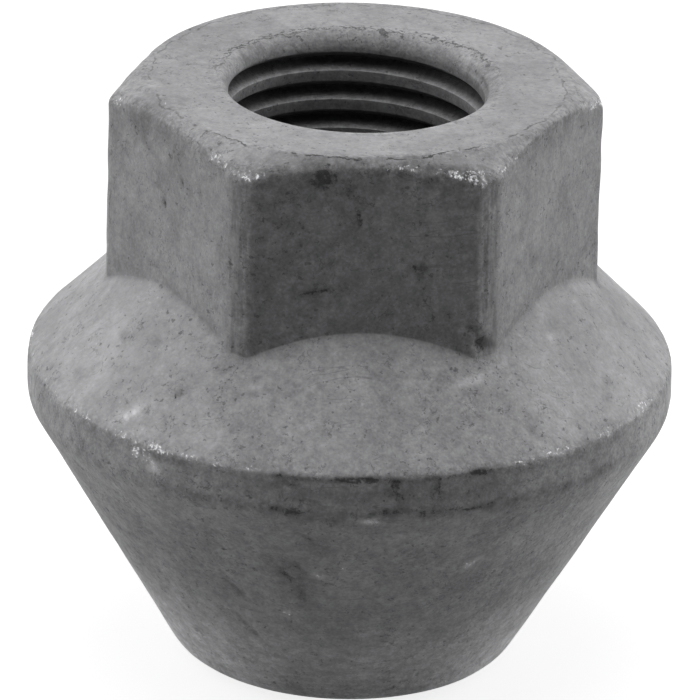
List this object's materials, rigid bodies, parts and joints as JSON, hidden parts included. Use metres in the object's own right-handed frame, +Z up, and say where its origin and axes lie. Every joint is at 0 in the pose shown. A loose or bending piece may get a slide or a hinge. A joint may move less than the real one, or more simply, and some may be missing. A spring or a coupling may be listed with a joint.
{
  "type": "lug nut",
  "caption": "Open-ended lug nut with a hexagon, a round collar with a sloped shoulder, and a conical seat; it clamps a wheel onto a stud.",
  "frame": {"origin": "centre of the nose face, at the small end of the conical seat", "axes": "+Z up the axis of the thread, from the nose to the top face; a hexagon corner on +X and a flat facing -Y"},
  "size_m": [0.0314, 0.0314, 0.0295],
  "materials": {
    "coated_steel": "satin"
  },
  "bodies": {
    "root": {"lug_nut": "coated_steel"}
  },
  "joints": []
}
